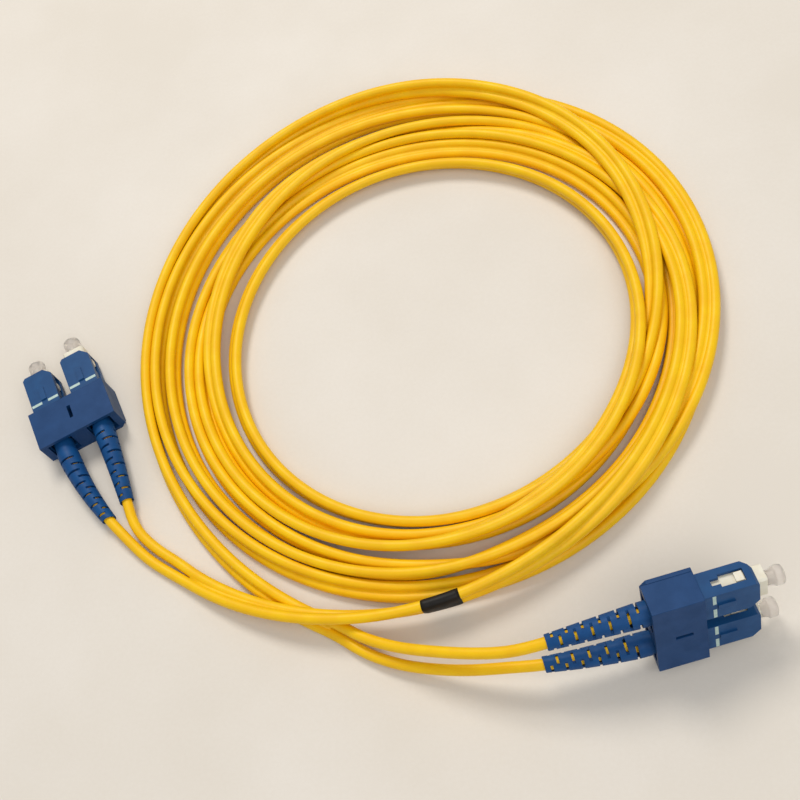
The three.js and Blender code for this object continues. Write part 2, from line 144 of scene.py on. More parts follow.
def smoothed(values, width):
    """The values averaged over their neighbours, with both ends kept."""
    reach = np.arange(-3 * width, 3 * width + 1)
    kernel = np.exp(-0.5 * (reach / width) ** 2)
    padded = np.pad(values, 3 * width, mode="reflect", reflect_type="odd")
    return np.convolve(padded, kernel / kernel.sum(), mode="valid")


def hermite(x, y, slope, at):
    """Points at `at` on the cubic that has these values and slopes at x."""
    k = np.clip(np.searchsorted(x, at, side="right") - 1, 0, len(x) - 2)
    h = (x[k + 1] - x[k])[:, None]
    t = (at[:, None] - x[k][:, None]) / h
    start = (2 * t**3 - 3 * t**2 + 1) * y[k] + (t**3 - 2 * t**2 + t) * h * slope[k]
    end = (3 * t**2 - 2 * t**3) * y[k + 1] + (t**3 - t**2) * h * slope[k + 1]
    return start + end


def eased(x, y, at):
    """A cubic through the values that doesn't swing past them."""
    step = np.diff(x)
    rise = np.diff(y) / step
    slope = np.zeros(len(x))
    slope[0], slope[-1] = rise[0], rise[-1]
    w1, w2 = 2 * step[1:] + step[:-1], step[1:] + 2 * step[:-1]
    same_way = rise[:-1] * rise[1:] > 0
    with np.errstate(divide="ignore", invalid="ignore"):
        slope[1:-1] = np.where(same_way, (w1 + w2) / (w1 / rise[:-1] + w2 / rise[1:]), 0)
    return hermite(x, y[:, None], slope[:, None], at)[:, 0]


def through(points, spacing):
    """Points a spacing apart on a smooth curve through the given ones."""
    points = np.asarray(points)
    chord = np.r_[0, np.cumsum(np.linalg.norm(np.diff(points, axis=0), axis=1))]
    at = np.linspace(0, chord[-1], round(chord[-1] / spacing) + 1)
    return hermite(chord, points, np.gradient(points, chord, axis=0), at)


def polar(route):
    """Angle (degrees), radius and height of a route's points about the coil's middle."""
    p = np.array(route) - (*COIL_AT, 0)
    return np.degrees(np.arctan2(p[:, 1], p[:, 0])), np.hypot(p[:, 0], p[:, 1]), p[:, 2]


def lane_radius(station, lane):
    inner, outer = LANE_INNER[station], LANE_OUTER[station]
    return inner + (outer - inner) * lane / LAST_LANE[station]


def stretches():
    """(turn, station, lane at its start, lane at its end) of each stretch between two lane stations."""
    lanes = {(-1, 3): LEAD_A_LANE}
    lanes.update({(t, k): lane for t, row in enumerate(TURN_LANES) for k, lane in enumerate(row)})
    found = []
    for (t, k), lane in lanes.items():
        following = (t, k + 1) if k + 1 < len(LANE_ANGLES) else (t + 1, 0)
        if following in lanes:
            found.append((t, k, lane, lanes[following]))
    return found


def layers():
    """How many strands each stretch passes over where strands change lanes."""
    layer = {}
    for station in range(len(LANE_ANGLES)):
        here = [s for s in stretches() if s[1] == station]
        here.sort(key=lambda s: (TOPMOST.get(s[:2], abs(s[3] - s[2])), s[0]))
        for n, (turn, _, start, end) in enumerate(here):
            under = [layer[q[:2]] for q in here[:n] if (q[2] - start) * (q[3] - end) < 0]
            layer[(turn, station)] = 1 + max(under) if under else 0
    return layer


def planned():
    """Angle (degrees, counted on from lead A), radius and height of the planned twin cord."""
    angle_a, radius_a, height_a = polar(LEAD_A)
    angle_b, radius_b, height_b = polar(LEAD_B[::-1])
    turns = [(360 * t + LANE_ANGLES[k], lane_radius(k, lane), LEG)
             for t, lanes in enumerate(TURN_LANES) for k, lane in enumerate(lanes)]
    middle = np.array(turns).T
    angle_b = angle_b % 360 + 360 * (len(TURN_LANES) - 1)
    return (np.r_[angle_a, middle[0], angle_b], np.r_[radius_a, middle[1], radius_b],
            np.r_[height_a, middle[2], height_b])


def lifts(angle):
    """Extra height of each place for the strands that it passes over."""
    lift = np.zeros(len(angle))
    layer = layers()
    for turn, station, _, _ in stretches():
        low = 360 * turn + LANE_ANGLES[station]
        high = 360 * turn + [*LANE_ANGLES, 360][station + 1]
        along = np.clip((angle - low) / (high - low), 0, 1)
        rise = eased_share(np.minimum(along, 1 - along) / RISE_SHARE)
        lift = np.maximum(lift, LAYER * layer[(turn, station)] * rise)
    return smoothed(lift, LIFT_WIDTH)


ROLL_AT_A = 0                   # degrees; the legs meet lying flat at end a
ROLL_AT_B = 142                 # and slanting at end b
MERGE_ANGLE = 22                # degrees of coil over which they settle
ROLL_BETWEEN = 90               # between the ends, they stand about one above the other
WANDERS = ((30, 0.61, 20), (16, 1.43, 140))     # size in degrees, waves per turn, start in degrees


def rolls(angle):
    """The way from one leg to the other at each place: 0 is outwards and 90 is up."""
    roll = ROLL_BETWEEN
    for size, waves, start in WANDERS:
        roll = roll + size * np.sin(np.radians(waves * angle + start))
    for target, away in ((ROLL_AT_A, angle - angle[0]), (ROLL_AT_B, angle[-1] - angle)):
        roll = target + (roll - target) * eased_share(away / MERGE_ANGLE)
    return np.radians(roll)


def joined(middle, arm):
    """Both legs' (radius, height), from the pair's middle and the way to its second leg. They are put a
    leg's diameter apart and kept above the table."""
    arm = arm * (LEG / 2) / np.linalg.norm(arm, axis=-1, keepdims=True)
    legs = np.stack([middle - arm, middle + arm], 1)
    legs[:, :, 1] = np.maximum(legs[:, :, 1], LEG / 2)
    return legs


def strand_pairs(turns):
    """Every two legs of different turns at a station, and which way each leg of the two is pushed."""
    first, second = np.triu_indices(2 * turns, 1)
    apart = first // 2 != second // 2
    first, second = first[apart], second[apart]
    ways = np.zeros((len(first), 2 * turns))
    ways[np.arange(len(first)), first] = -1
    ways[np.arange(len(first)), second] = 1
    return first, second, ways


def pushed_apart(legs, slot, turns, pairs):
    """Each leg moved away from the legs of other turns that it reaches into at the same station."""
    first, second, ways = pairs
    table = np.full((STATIONS * turns, 2, 2), np.nan)
    table[slot] = legs
    discs = table.reshape(STATIONS, 2 * turns, 2)
    gap = discs[:, second] - discs[:, first]
    far = np.linalg.norm(gap, axis=-1)
    deep = np.nan_to_num(np.maximum(0, CLEARANCE * LEG - far))
    push = np.nan_to_num(gap / np.maximum(far, SMALLEST)[..., None]) * (0.5 * deep)[..., None]
    moved = np.einsum("spx,pd->sdx", push, ways)
    touches = (deep > 0).astype(float) @ np.abs(ways)
    moved /= np.maximum(1, CROWDING * touches)[..., None]
    legs = legs + moved.reshape(table.shape)[slot]
    return joined(legs.mean(1), legs[:, 1] - legs[:, 0])


def drawn(legs, plan, sink):
    """The legs lowered, and drawn towards their planned radius and roll."""
    middle, arm = legs.mean(1), legs[:, 1] - legs[:, 0]
    middle[:, 1] -= sink
    middle[:, 0] += LANE_PULL * (plan["radius"] - middle[:, 0])
    middle[:, 1] = np.maximum(middle[:, 1], plan["least_height"])
    lean = np.arctan2(arm[:, 1], arm[:, 0])
    lean += plan["grip"] * ((plan["roll"] - lean + np.pi) % (2 * np.pi) - np.pi)
    return joined(middle, np.stack([np.cos(lean), np.sin(lean)], -1))


def evened(legs, share, width):
    """The legs moved a share of the way to their average over their neighbours."""
    even = legs.copy()
    for leg in range(2):
        for axis in range(2):
            values = legs[:, leg, axis]
            even[:, leg, axis] = values + share * (smoothed(values, width) - values)
    return even


def settled():
    """Lets the twin cord's turns settle on the table and against each other, and returns
    the angle of each place and the (radius, height) of both legs there.

    It doesn't part every crossing: near 279 degrees two strands stay up to 2.3 mm inside each other."""
    plan_angle, plan_radius, plan_height = planned()
    step = 360 / STATIONS
    index = np.arange(math.ceil(plan_angle[0] / step), math.floor(plan_angle[-1] / step) + 1)
    angle = index * step
    radius = smoothed(eased(plan_angle, plan_radius, angle), RADIUS_WIDTH)
    height = eased(plan_angle, plan_height, angle)
    roll = rolls(angle)
    away = np.minimum(angle - angle[0], angle[-1] - angle)
    plan = {
        "radius": radius,
        "roll": roll,
        "least_height": np.where(angle < LANE_ANGLES[-1] - 360 + HELD_ANGLE, height, 0),
        "grip": np.where(away < MERGE_ANGLE, ROLL_GRIP["ends"], ROLL_GRIP["middle"]),
    }
    arm = np.stack([np.cos(roll), np.sin(roll)], -1)
    legs = joined(np.stack([radius, height + lifts(angle)], -1), arm)

    turn, station = index // STATIONS, index % STATIONS
    turns = turn.max() - turn.min() + 1
    slot = station * turns + turn - turn.min()
    pairs = strand_pairs(turns)
    for n in range(ROUNDS):
        legs = drawn(legs, plan, SINK * (1 - SINK_FADE * n / ROUNDS))
        legs = evened(legs, **EVENING)
        for _ in range(PUSHES):
            legs = pushed_apart(legs, slot, turns, pairs)
    legs = evened(legs, share=1, width=SETTLED_WIDTH)
    return angle, joined(legs.mean(1), legs[:, 1] - legs[:, 0])


def pair_points():
    """Both legs' points in metres from where the legs of end a meet to where those of end b part."""
    angle, legs = settled()
    turn = np.radians(angle)[:, None]
    x = COIL_AT[0] + legs[:, :, 0] * np.cos(turn)
    y = COIL_AT[1] + legs[:, :, 0] * np.sin(turn)
    return np.stack([x, y, legs[:, :, 1]], -1)


# ------------------------------------------------------------------ where the plugs are

def end_matrix(end):
    """From a plug pair's own axes, in millimetres, to the object's, in metres."""
    mounts = {m["name"]: m for m in frame["record"]["mounts"]}
    nose = Vector(mounts[f"plug_face_{end}1"]["axis"]).normalized()
    face_1, face_2 = (
        Vector(mounts[f"plug_face_{label}"]["pos_m"]) - PLUGS[label]["slid"] * MM * nose
        for label in (f"{end}1", f"{end}2"))
    across = (face_1 - face_2).normalized()
    origin = (face_1 + face_2) / 2 - (FACE_MOUNT_X * across + FRAME_FACE_Z * nose) * MM
    turned = Matrix((across, nose.cross(across), nose)).transposed().to_4x4()
    return Matrix.Translation(origin) @ turned @ Matrix.Scale(MM, 4)


END_MATRIX = {end: end_matrix(end) for end in ENDS}


def plug_matrix(label):
    return END_MATRIX[label[0]] @ Matrix.Translation((PLUGS[label]["x"], 0, 0))


def inner_matrix(label):
    return plug_matrix(label) @ Matrix.Translation((0, 0, PLUGS[label]["slid"]))


def lean_at(z, label):
    """How far a boot, and the leg in it, has leant at z: straight at first, then more and more."""
    t = max(0, (BOOT_BEND["start"] - z) / (BOOT_BEND["start"] - BOOT["tip"]))
    share = BOOT_BEND["slope"] * t + BOOT_BEND["curl"] * t * t
    return [share * at_tip for at_tip in PLUGS[label]["lean"]]


def leg_in_boot(label):
    """Points from the crimp sleeve to just past the boot's tip."""
    matrix = inner_matrix(label)
    last = BOOT["tip"] + PLUGS[label]["seat"] - PAST_BOOT_TIP
    heights = np.linspace(LEG_FRONT_Z, last, POINTS_IN_BOOT)
    return [matrix @ Vector((*lean_at(z, label), z)) for z in heights]


# ------------------------------------------------------------------ camera

CAMERA_AT = (.083844, -.131730, .320127)
CAMERA_TOWARDS = (.009247, .026257, 0)
CAMERA_DOWN = (-.098, -.901, -.422)     # the way that is down in the picture
CLIP = (0.01, 20)
FOCAL_PIXELS = 1275
FRAME_PIXELS = 800
SENSOR = 36


def camera():
    data = bpy.data.cameras.new("camera")
    data.lens = FOCAL_PIXELS * SENSOR / FRAME_PIXELS
    data.sensor_width = SENSOR
    data.clip_start, data.clip_end = CLIP
    holder = bpy.data.objects.new("camera", data)
    bpy.context.scene.collection.objects.link(holder)
    aim = Vector(CAMERA_TOWARDS) - Vector(CAMERA_AT)
    back = -aim.normalized()
    right = (-Vector(CAMERA_DOWN)).cross(back).normalized()
    rotation = Matrix((right, back.cross(right), back)).transposed().to_4x4()
    holder.matrix_world = Matrix.Translation(CAMERA_AT) @ rotation
    bpy.context.scene.camera = holder


camera()


# ------------------------------------------------------------------ materials

# The part of a noise's values that is stretched over the whole of what it drives.
NARROW = {"From Min": 0.32, "From Max": 0.68}
WIDE = {"From Min": 0.3, "From Max": 0.7}
PATCH_NOISE = {"Detail": 4, "Roughness": 0.55}
GRAIN_NOISE = {"Detail": 3, "Roughness": 0.6}


def node(tree, kind, inputs=(), **settings):
    """A new shader node. An input that is a socket is linked, and any other is set."""
    made = tree.nodes.new(kind)
    for name, value in settings.items():
        setattr(made, name, value)
    for name, value in dict(inputs).items():
        if isinstance(value, bpy.types.NodeSocket):
            tree.links.new(value, made.inputs[name])
        else:
            made.inputs[name].default_value = value
    return made


def linear(rgb):
    """A colour of 0 to 255 as the linear values that the shader takes."""
    shares = [c / 255 for c in rgb]
    return [c / 12.92 if c <= 0.04045 else ((c + 0.055) / 1.055) ** 2.4 for c in shares] + [1]


def material(name, colour, second, patch=400, rough=(0.35, 0.45), grain=6000, bump=0.05, relief=0.0002,
             shader=(), fine=0.35):
    """A moulded or turned surface: its colour drifts to a second one in soft patches, its roughness
    varies, and fine grain roughens it. patch and grain are in features per metre, and fine is how much
    of the grain shows in the colour."""
    made = bpy.data.materials.new(name)
    made.use_nodes = True
    tree = made.node_tree
    principled = tree.nodes["Principled BSDF"]
    place = node(tree, "ShaderNodeTexCoord").outputs["Object"]
    patches = node(tree, "ShaderNodeTexNoise", {"Vector": place, "Scale": patch, **PATCH_NOISE})
    grains = node(tree, "ShaderNodeTexNoise", {"Vector": place, "Scale": grain, **GRAIN_NOISE})
    share = node(tree, "ShaderNodeMapRange", {"Value": patches.outputs["Fac"], **NARROW})
    speck = node(tree, "ShaderNodeMapRange", {"Value": grains.outputs["Fac"], **WIDE, "To Max": fine})
    both = node(tree, "ShaderNodeMath", operation="ADD")
    tree.links.new(share.outputs["Result"], both.inputs[0])
    tree.links.new(speck.outputs["Result"], both.inputs[1])
    paint = node(tree, "ShaderNodeMix", data_type="RGBA")
    paint.inputs["A"].default_value = linear(colour)
    paint.inputs["B"].default_value = linear(second)
    tree.links.new(both.outputs["Value"], paint.inputs["Factor"])
    tree.links.new(paint.outputs["Result"], principled.inputs["Base Color"])
    roughness = node(tree, "ShaderNodeMapRange",
                     {"Value": patches.outputs["Fac"], **WIDE, "To Min": rough[0], "To Max": rough[1]})
    tree.links.new(roughness.outputs["Result"], principled.inputs["Roughness"])
    raised = node(tree, "ShaderNodeBump",
                  {"Height": grains.outputs["Fac"], "Strength": bump, "Distance": relief})
    tree.links.new(raised.outputs["Normal"], principled.inputs["Normal"])
    for socket, value in dict(shader).items():
        principled.inputs[socket].default_value = value
    return made


METAL = {"Metallic": 1.0}
LOOKS = {
    "yellow_jacket": material(
        "yellow_jacket", (248, 201, 8), (241, 187, 4), patch=130, rough=(0.4, 0.52), grain=3000,
        bump=0.06, relief=0.00006, shader={"Specular IOR Level": 0.3, "Subsurface Weight": 0.08,
                                "Subsurface Radius": (.002, .001, .0003)}),
    "blue_housing": material(
        "blue_housing", (22, 76, 126), (16, 66, 114), patch=220, rough=(0.36, 0.48), grain=7000, bump=0.08,
        relief=0.00004, shader={"Specular IOR Level": 0.25}),
    "blue_clip": material(
        "blue_clip", (22, 66, 116), (16, 58, 104), patch=180, rough=(0.42, 0.54), grain=5200, bump=0.12,
        relief=0.00005, shader={"Specular IOR Level": 0.22}),
    "blue_boot": material(
        "blue_boot", (14, 78, 134), (9, 66, 120), patch=260, rough=(0.46, 0.6), grain=4600, bump=0.1,
        relief=0.00005, shader={"Specular IOR Level": 0.25, "Subsurface Weight": 0.04,
                                "Subsurface Radius": (.0003, .0008, .0015)}),
    "ivory_frame": material(
        "ivory_frame", (236, 231, 214), (224, 217, 196), patch=300, rough=(0.38, 0.5), grain=6000,
        bump=0.06, relief=0.00004, shader={"Subsurface Weight": 0.15,
                                           "Subsurface Radius": (.0012, .001, .0007)}),
    "zirconia": material(
        "zirconia", (243, 240, 232), (236, 231, 220), patch=500, rough=(0.12, 0.22), grain=9000, bump=0.02,
        relief=0.00002, shader={"Coat Weight": 0.3, "Coat Roughness": 0.1}),
    "steel": material(
        "steel", (196, 198, 202), (176, 178, 183), patch=700, rough=(0.24, 0.36), grain=9000, bump=0.1,
        relief=0.00002, shader=METAL),
    "spring_steel": material(
        "spring_steel", (180, 182, 186), (158, 160, 165), patch=900, rough=(0.22, 0.34), grain=9000,
        bump=0.1, relief=0.00002, shader=METAL),
    "nickel_brass": material(
        "nickel_brass", (206, 198, 176), (190, 178, 150), patch=500, rough=(0.22, 0.36), grain=8000,
        bump=0.1, relief=0.00002, shader=METAL),
    "clear_cap": material(
        "clear_cap", (250, 246, 242), (242, 237, 232), patch=400, rough=(0.34, 0.46), grain=6000, bump=0.04,
        relief=0.00003, shader={"Transmission Weight": 0.8, "IOR": 1.3, "Specular IOR Level": 0.3}),
    "white_buffer": material(
        "white_buffer", (240, 233, 216), (229, 219, 196), patch=600, rough=(0.4, 0.5)),
    "black_sleeve": material(
        "black_sleeve", (26, 21, 17), (18, 15, 12), patch=380, rough=(0.42, 0.58), grain=4200, bump=0.25,
        relief=0.00008, shader={"Specular IOR Level": 0.25}),
    "pale_ink": material(
        "pale_ink", (196, 214, 206), (172, 196, 188), patch=1500, rough=(0.45, 0.6), grain=9000, bump=0.1,
        relief=0.00002),
    "floor": material(
        "floor", (226, 219, 209), (220, 212, 200), patch=14, rough=(0.6, 0.7), grain=900, bump=0.03,
        relief=0.0002),
}


def painted(piece, look, *stands_for):
    """Gives a piece its material and hides the CAD nodes that it stands for."""
    piece.data.materials.clear()
    piece.data.materials.append(LOOKS[look])
    if stands_for:
        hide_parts(*stands_for)
    return piece


def finished(piece, look, body, *stands_for):
    """A painted piece that moves with one body."""
    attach(piece, body)
    return painted(piece, look, *stands_for)


# ------------------------------------------------------------------ cord pieces

def linked(name, data):
    piece = bpy.data.objects.new(name, data)
    bpy.context.scene.collection.objects.link(piece)
    return piece


def round_cord(name, points, diameter):
    """A round tube along the points. Its radius is set at each point, and the bevel scales that by one,
    because Blender counts the points' radius in the piece's bounds."""
    data = bpy.data.curves.new(name, "CURVE")
    data.dimensions = "3D"
    data.bevel_depth = 1
    data.bevel_resolution = CORD_BEVEL
    data.use_fill_caps = True
    spline = data.splines.new("POLY")
    spline.points.add(len(points) - 1)
    spline.points.foreach_set("co", np.c_[points, np.ones(len(points))].ravel())
    spline.points.foreach_set("radius", np.full(len(points), diameter / 2))
    spline.use_smooth = True
    return linked(name, data)


def swept(name, sections):
    """A closed tube through rings of points, with both ends filled."""
    rings, sides = len(sections), len(sections[0])
    faces = []
    for ring in range(rings - 1):
        for side in range(sides):
            following = (side + 1) % sides
            a, b = ring * sides + side, ring * sides + following
            faces.append((a, b, b + sides, a + sides))
    faces.append(tuple(reversed(range(sides))))
    faces.append(tuple(range((rings - 1) * sides, rings * sides)))
    data = bpy.data.meshes.new(name)
    data.from_pydata([tuple(p) for section in sections for p in section], [], faces)
    data.validate()
    outward_normals(data)
    data.shade_smooth()
    return linked(name, data)


def outward_normals(data):
    mesh = bmesh.new()
    mesh.from_mesh(data)
    bmesh.ops.recalc_face_normals(mesh, faces=mesh.faces)
    mesh.to_mesh(data)
    mesh.free()


def across_pair(pair):
    """At each place of the twin cord: its middle, the unit way to its second leg, and the unit way
    across both."""
    middle = pair.mean(1)
    arm = pair[:, 1] - pair[:, 0]
    arm /= np.linalg.norm(arm, axis=1, keepdims=True)
    ahead = np.gradient(middle, axis=0)
    face = np.cross(ahead, arm)
    face /= np.linalg.norm(face, axis=1, keepdims=True)
    return middle, arm, face


# Half the web's section, as shares of a leg's radius: along the arm, and half thickness there.
WEB_SECTION = ((-.62, .86), (-.3, .66), (0, .56), (.3, .66), (.62, .86))


def web(pair):
    """The thin web that joins the two legs, filleted into both."""
    middle, arm, face = across_pair(pair)
    outline = [*WEB_SECTION, *[(u, -v) for u, v in reversed(WEB_SECTION)]]
    u, v = (np.array(outline) * LEG / 2).T
    sections = middle[:, None] + u[None, :, None] * arm[:, None] + v[None, :, None] * face[:, None]
    return swept("cord_web", sections)


def leg_points(number, pair):
    """One leg from its plug at end a to its plug at end b, a spacing apart."""
    a, b = f"a{number}", f"b{number}"
    strand = pair[:, 1 if number == 1 else 0]
    points = [*leg_in_boot(a), *LEG_ROUTES[a], *strand, *reversed(LEG_ROUTES[b]), *reversed(leg_in_boot(b))]
    fine = through([tuple(p) for p in points], SPACING)
    return np.stack([smoothed(fine[:, axis], FINISHED_WIDTH) for axis in range(3)], -1)


BAND_SIDES = 32
BAND_SKIN = 0.00025
BAND_LIP = 0.5                  # the share of the skin that its ends lose
BAND_FLATNESS = 3               # how squarely it spans the two legs
BAND_STEPS = 14
BAND_SEARCH = 40                # places from end a among which it lies
BAND_SPACING = 0.0005


def band(pair):
    """The shrunk sleeve round both legs, lipped at its ends."""
    fine = through(pair[:BAND_SEARCH].reshape(-1, 6), BAND_SPACING).reshape(-1, 2, 3)
    middle, arm, face = across_pair(fine)
    start = int(np.argmin(np.linalg.norm(middle[:, :2] - BAND_FROM[:2], axis=1)))
    along = np.r_[0, np.cumsum(np.linalg.norm(np.diff(middle, axis=0), axis=1))]
    end = int(np.searchsorted(along, along[start] + BAND_LENGTH))
    sections = []
    turn = np.linspace(0, 2 * math.pi, BAND_SIDES, endpoint=False)
    for k in np.linspace(start, end, BAND_STEPS).astype(int):
        lip = 1 if k in (start, end) else 0
        skin = LEG / 2 + BAND_SKIN * (1 - BAND_LIP * lip)
        u = skin * np.cos(turn) + LEG / 2 * np.tanh(BAND_FLATNESS * np.cos(turn))
        v = skin * np.sin(turn)
        sections.append(middle[k] + u[:, None] * arm[k] + v[:, None] * face[k])
    return swept("marker_band", sections)


pair = pair_points()
web_piece = finished(web(pair), "yellow_jacket", "cord_and_frames")
band_piece = finished(band(pair), "black_sleeve", "cord_and_frames", "marker_sleeve")
CORD_NODES = {1: ("cord_coil", "cord_leg_a1", "cord_leg_b1", "cord_lead_a"),
              2: ("cord_leg_a2", "cord_leg_b2", "cord_lead_b")}
for number, cad_nodes in CORD_NODES.items():
    points = leg_points(number, pair)
    leg = finished(round_cord(f"cord_leg_{number}", points, LEG), "yellow_jacket", "cord_and_frames",
                   *cad_nodes)


# ------------------------------------------------------------------ plug pieces

WELD_MM = 1e-4                  # points this close are made one, in a piece built in mm
WELD = 1e-6                     # and in a CAD piece, in metres
FLAT_ANGLE = 1                  # degrees: facets nearer than this to flat are made one face
FLAT_WEIGHT = 100               # how far large flat faces decide the shading
TURNED_ROUNDING = {"segments": 2, "angle": 40}
BOOT_ROUNDING = 0.1             # mm


def turned(name, profile, sides=48):
    """A closed profile of (radius, z) pairs, in millimetres, turned about the plug's axis."""
    mesh = bmesh.new()
    points = [mesh.verts.new((r, 0, z)) for r, z in profile]
    edges = [mesh.edges.new((points[i], points[(i + 1) % len(points)])) for i in range(len(points))]
    bmesh.ops.spin(mesh, geom=points + edges, axis=(0, 0, 1), cent=(0, 0, 0), steps=sides,
                   angle=2 * math.pi, use_merge=False, use_duplicate=False)
    bmesh.ops.remove_doubles(mesh, verts=mesh.verts, dist=WELD_MM)
    loose = [e for e in mesh.edges if not e.link_faces]
    bmesh.ops.delete(mesh, geom=loose, context="EDGES")
    bmesh.ops.recalc_face_normals(mesh, faces=mesh.faces)
    data = bpy.data.meshes.new(name)
    mesh.to_mesh(data)
    mesh.free()
    return linked(name, data)


def rounded(piece, width, segments=3, angle=35):
    """Rounds a piece's edges, and shades it smoothly between them. The width is in its own units."""
    bevel = piece.modifiers.new("rounding", "BEVEL")
    bevel.width = width
    bevel.segments = segments
    bevel.limit_method = "ANGLE"
    bevel.angle_limit = math.radians(angle)
    for face in piece.data.polygons:
        face.use_smooth = True
    weighted = piece.modifiers.new("flat faces", "WEIGHTED_NORMAL")
    weighted.mode = "FACE_AREA"
    weighted.weight = FLAT_WEIGHT
    apply_modifiers(piece)
    return piece


def apply_modifiers(piece):
    graph = bpy.context.evaluated_depsgraph_get()
    piece.data = bpy.data.meshes.new_from_object(
        piece.evaluated_get(graph), preserve_all_data_layers=True, depsgraph=graph)
    piece.modifiers.clear()


COVER_TOP = {"cad": -4.0, "closed": -3.76, "within": 0.01}      # y in the plugs' own axes, in mm


def close_seam(data, end):
    """Brings a clip's cover up to its body. The CAD keeps the two a clearance apart."""
    for vertex in data.vertices:
        place = END_MATRIX[end].inverted() @ vertex.co
        if abs(place.y - COVER_TOP["cad"]) < COVER_TOP["within"]:
            place.y = COVER_TOP["closed"]
            vertex.co = END_MATRIX[end] @ place


def from_cad(name, node_name, width):
    """A copy of a CAD piece with its flat faces made whole and its edges rounded. A clip's cover is
    also brought up to its body."""
    data = bpy.data.meshes.new(name)
    mesh = bmesh.new()
    mesh.from_mesh(frame["nodes"][node_name].data)
    bmesh.ops.remove_doubles(mesh, verts=mesh.verts, dist=WELD)
    bmesh.ops.dissolve_limit(mesh, angle_limit=math.radians(FLAT_ANGLE), verts=mesh.verts,
                             edges=mesh.edges)
    mesh.to_mesh(data)
    mesh.free()
    if name.startswith("moulded_cover"):
        close_seam(data, name[-1])
    return rounded(linked(name, data), width)


def shared_mesh(node_name, width, matrix):
    """A rounded copy of one plug's CAD piece, moved into the plug's own axes for every plug to share."""
    piece = from_cad("shared", node_name, width)
    data = piece.data
    bpy.data.objects.remove(piece)
    data.transform(matrix.inverted())
    return data


def placed(piece, matrix):
    piece.data.transform(matrix)
    return piece


TAPER_STEPS = 24                # enough points along the boot for it to bend smoothly


def ramp(r0, z0, r1, z1, count):
    """Evenly spaced (radius, z) pairs from one pair to another."""
    return [(r0 + (r1 - r0) * i / count, z0 + (z1 - z0) * i / count) for i in range(count + 1)]


def straight_boot():
    """The boot before it bends: a neck in the clip, a root, a taper to the tip, and its bore."""
    tip, tip_radius = BOOT["tip"], BOOT["tip_radius"]
    return [
        (tip_radius - BOOT_TIP["ease"], tip), (tip_radius, tip + BOOT_TIP["edge"]),
        *ramp(tip_radius, tip + BOOT_TIP["lip"], BOOT["root"], BOOT_ROOT["taper"], TAPER_STEPS),
        (BOOT["root"], BOOT_ROOT["flare"]), (BOOT["neck"], BOOT_ROOT["front"]),
        (BOOT["neck"], BOOT["front"]), (BOOT_BORE["front"], BOOT["front"]),
        (BOOT_BORE["front"], BOOT_BORE["step"]),
        *ramp(BOOT_BORE["cord"], BOOT_BORE["step_end"], BOOT_BORE["cord"], tip, TAPER_STEPS),
    ]


SLOT_ANGLES = (45, 135)         # degrees; pairs of slots take them in turn


def slot_cutter():
    """Flat bars that cut the boot's slots, two at each place, on opposite sides. Every second pair is
    turned a quarter."""
    mesh = bmesh.new()
    reach = 2 * BOOT["root"]
    for pair_number in range(BOOT_SLOT["pairs"]):
        z = BOOT_SLOT["first"] - pair_number * BOOT_SLOT["spacing"] - BOOT_SLOT["width"] / 2
        z += BOOT_SLOT["narrowing"] * pair_number * (pair_number - 1) / 2
        for side in (0, 180):
            angle = math.radians(SLOT_ANGLES[pair_number % 2] + side)
            bar = bmesh.ops.create_cube(mesh, size=1)["verts"]
            bmesh.ops.scale(mesh, verts=bar, vec=(reach, 2 * reach, BOOT_SLOT["width"]))
            bmesh.ops.translate(mesh, verts=bar, vec=(BOOT_SLOT["depth"] + reach / 2, 0, z))
            bmesh.ops.rotate(mesh, verts=bar, cent=(0, 0, 0), matrix=Matrix.Rotation(angle, 3, "Z"))
    data = bpy.data.meshes.new("slot_cutter")
    mesh.to_mesh(data)
    mesh.free()
    return linked("slot_cutter", data)


def slotted_boot():
    boot = turned("boot", straight_boot())
    cutter = slot_cutter()
    cutting = boot.modifiers.new("slots", "BOOLEAN")
    cutting.operation = "DIFFERENCE"
    cutting.solver = "EXACT"
    cutting.object = cutter
    apply_modifiers(boot)
    bpy.data.objects.remove(cutter)
    rounded(boot, BOOT_ROUNDING, **TURNED_ROUNDING)
    data = boot.data
    bpy.data.objects.remove(boot)
    return data


BOOT_MESH = slotted_boot()


def boot(label):
    seat = Matrix.Translation((0, 0, PLUGS[label]["seat"]))
    data = BOOT_MESH.copy()
    data.transform(seat @ Matrix.Rotation(math.radians(PLUGS[label]["turn"]), 4, "Z"))
    for vertex in data.vertices:
        dx, dy = lean_at(vertex.co.z, label)
        vertex.co.x += dx
        vertex.co.y += dy
    data.name = f"slotted_boot_{label}"
    return placed(linked(data.name, data), inner_matrix(label))


CAP_PROFILE = [
    (0, 18.9), (1.2, 18.9), (1.45, 18.8), (1.55, 18.5), (1.55, 16.5), (1.85, 16.5), (1.85, 17.0),
    (2.15, 18.0), (2.5, 18.3), (2.5, 19.8), (2.42, 20.15), (2.2, 20.45), (1.8, 20.68), (1.38, 20.79),
    (.7, 20.87), (0, 20.9),
]
FERRULE_PROFILE = [(0, 7.9), (1.25, 7.9), (1.25, 18.0), (1.15, 18.2), (.95, 18.36), (.6, 18.4), (0, 18.4)]
FLANGE_PROFILE = [(.75, 2.5), (1.15, 2.5), (1.15, 6.2), (1.85, 6.2), (1.85, 8.7), (1.55, 8.7), (1.55, 7.6),
                  (.75, 7.6)]
STOP_PROFILE = [(.9, -12.6), (1.7, -12.6), (1.7, -8.0), (2.4, -8.0), (2.4, -6.8), (1.9, -6.8), (1.9, -3.5),
                (.9, -3.5)]
CRIMP_PROFILE = [(1.8, -14.7), (2.25, -14.7), (2.25, -8.3), (2.0, -8.3), (2.0, -12.9), (1.8, -12.9)]
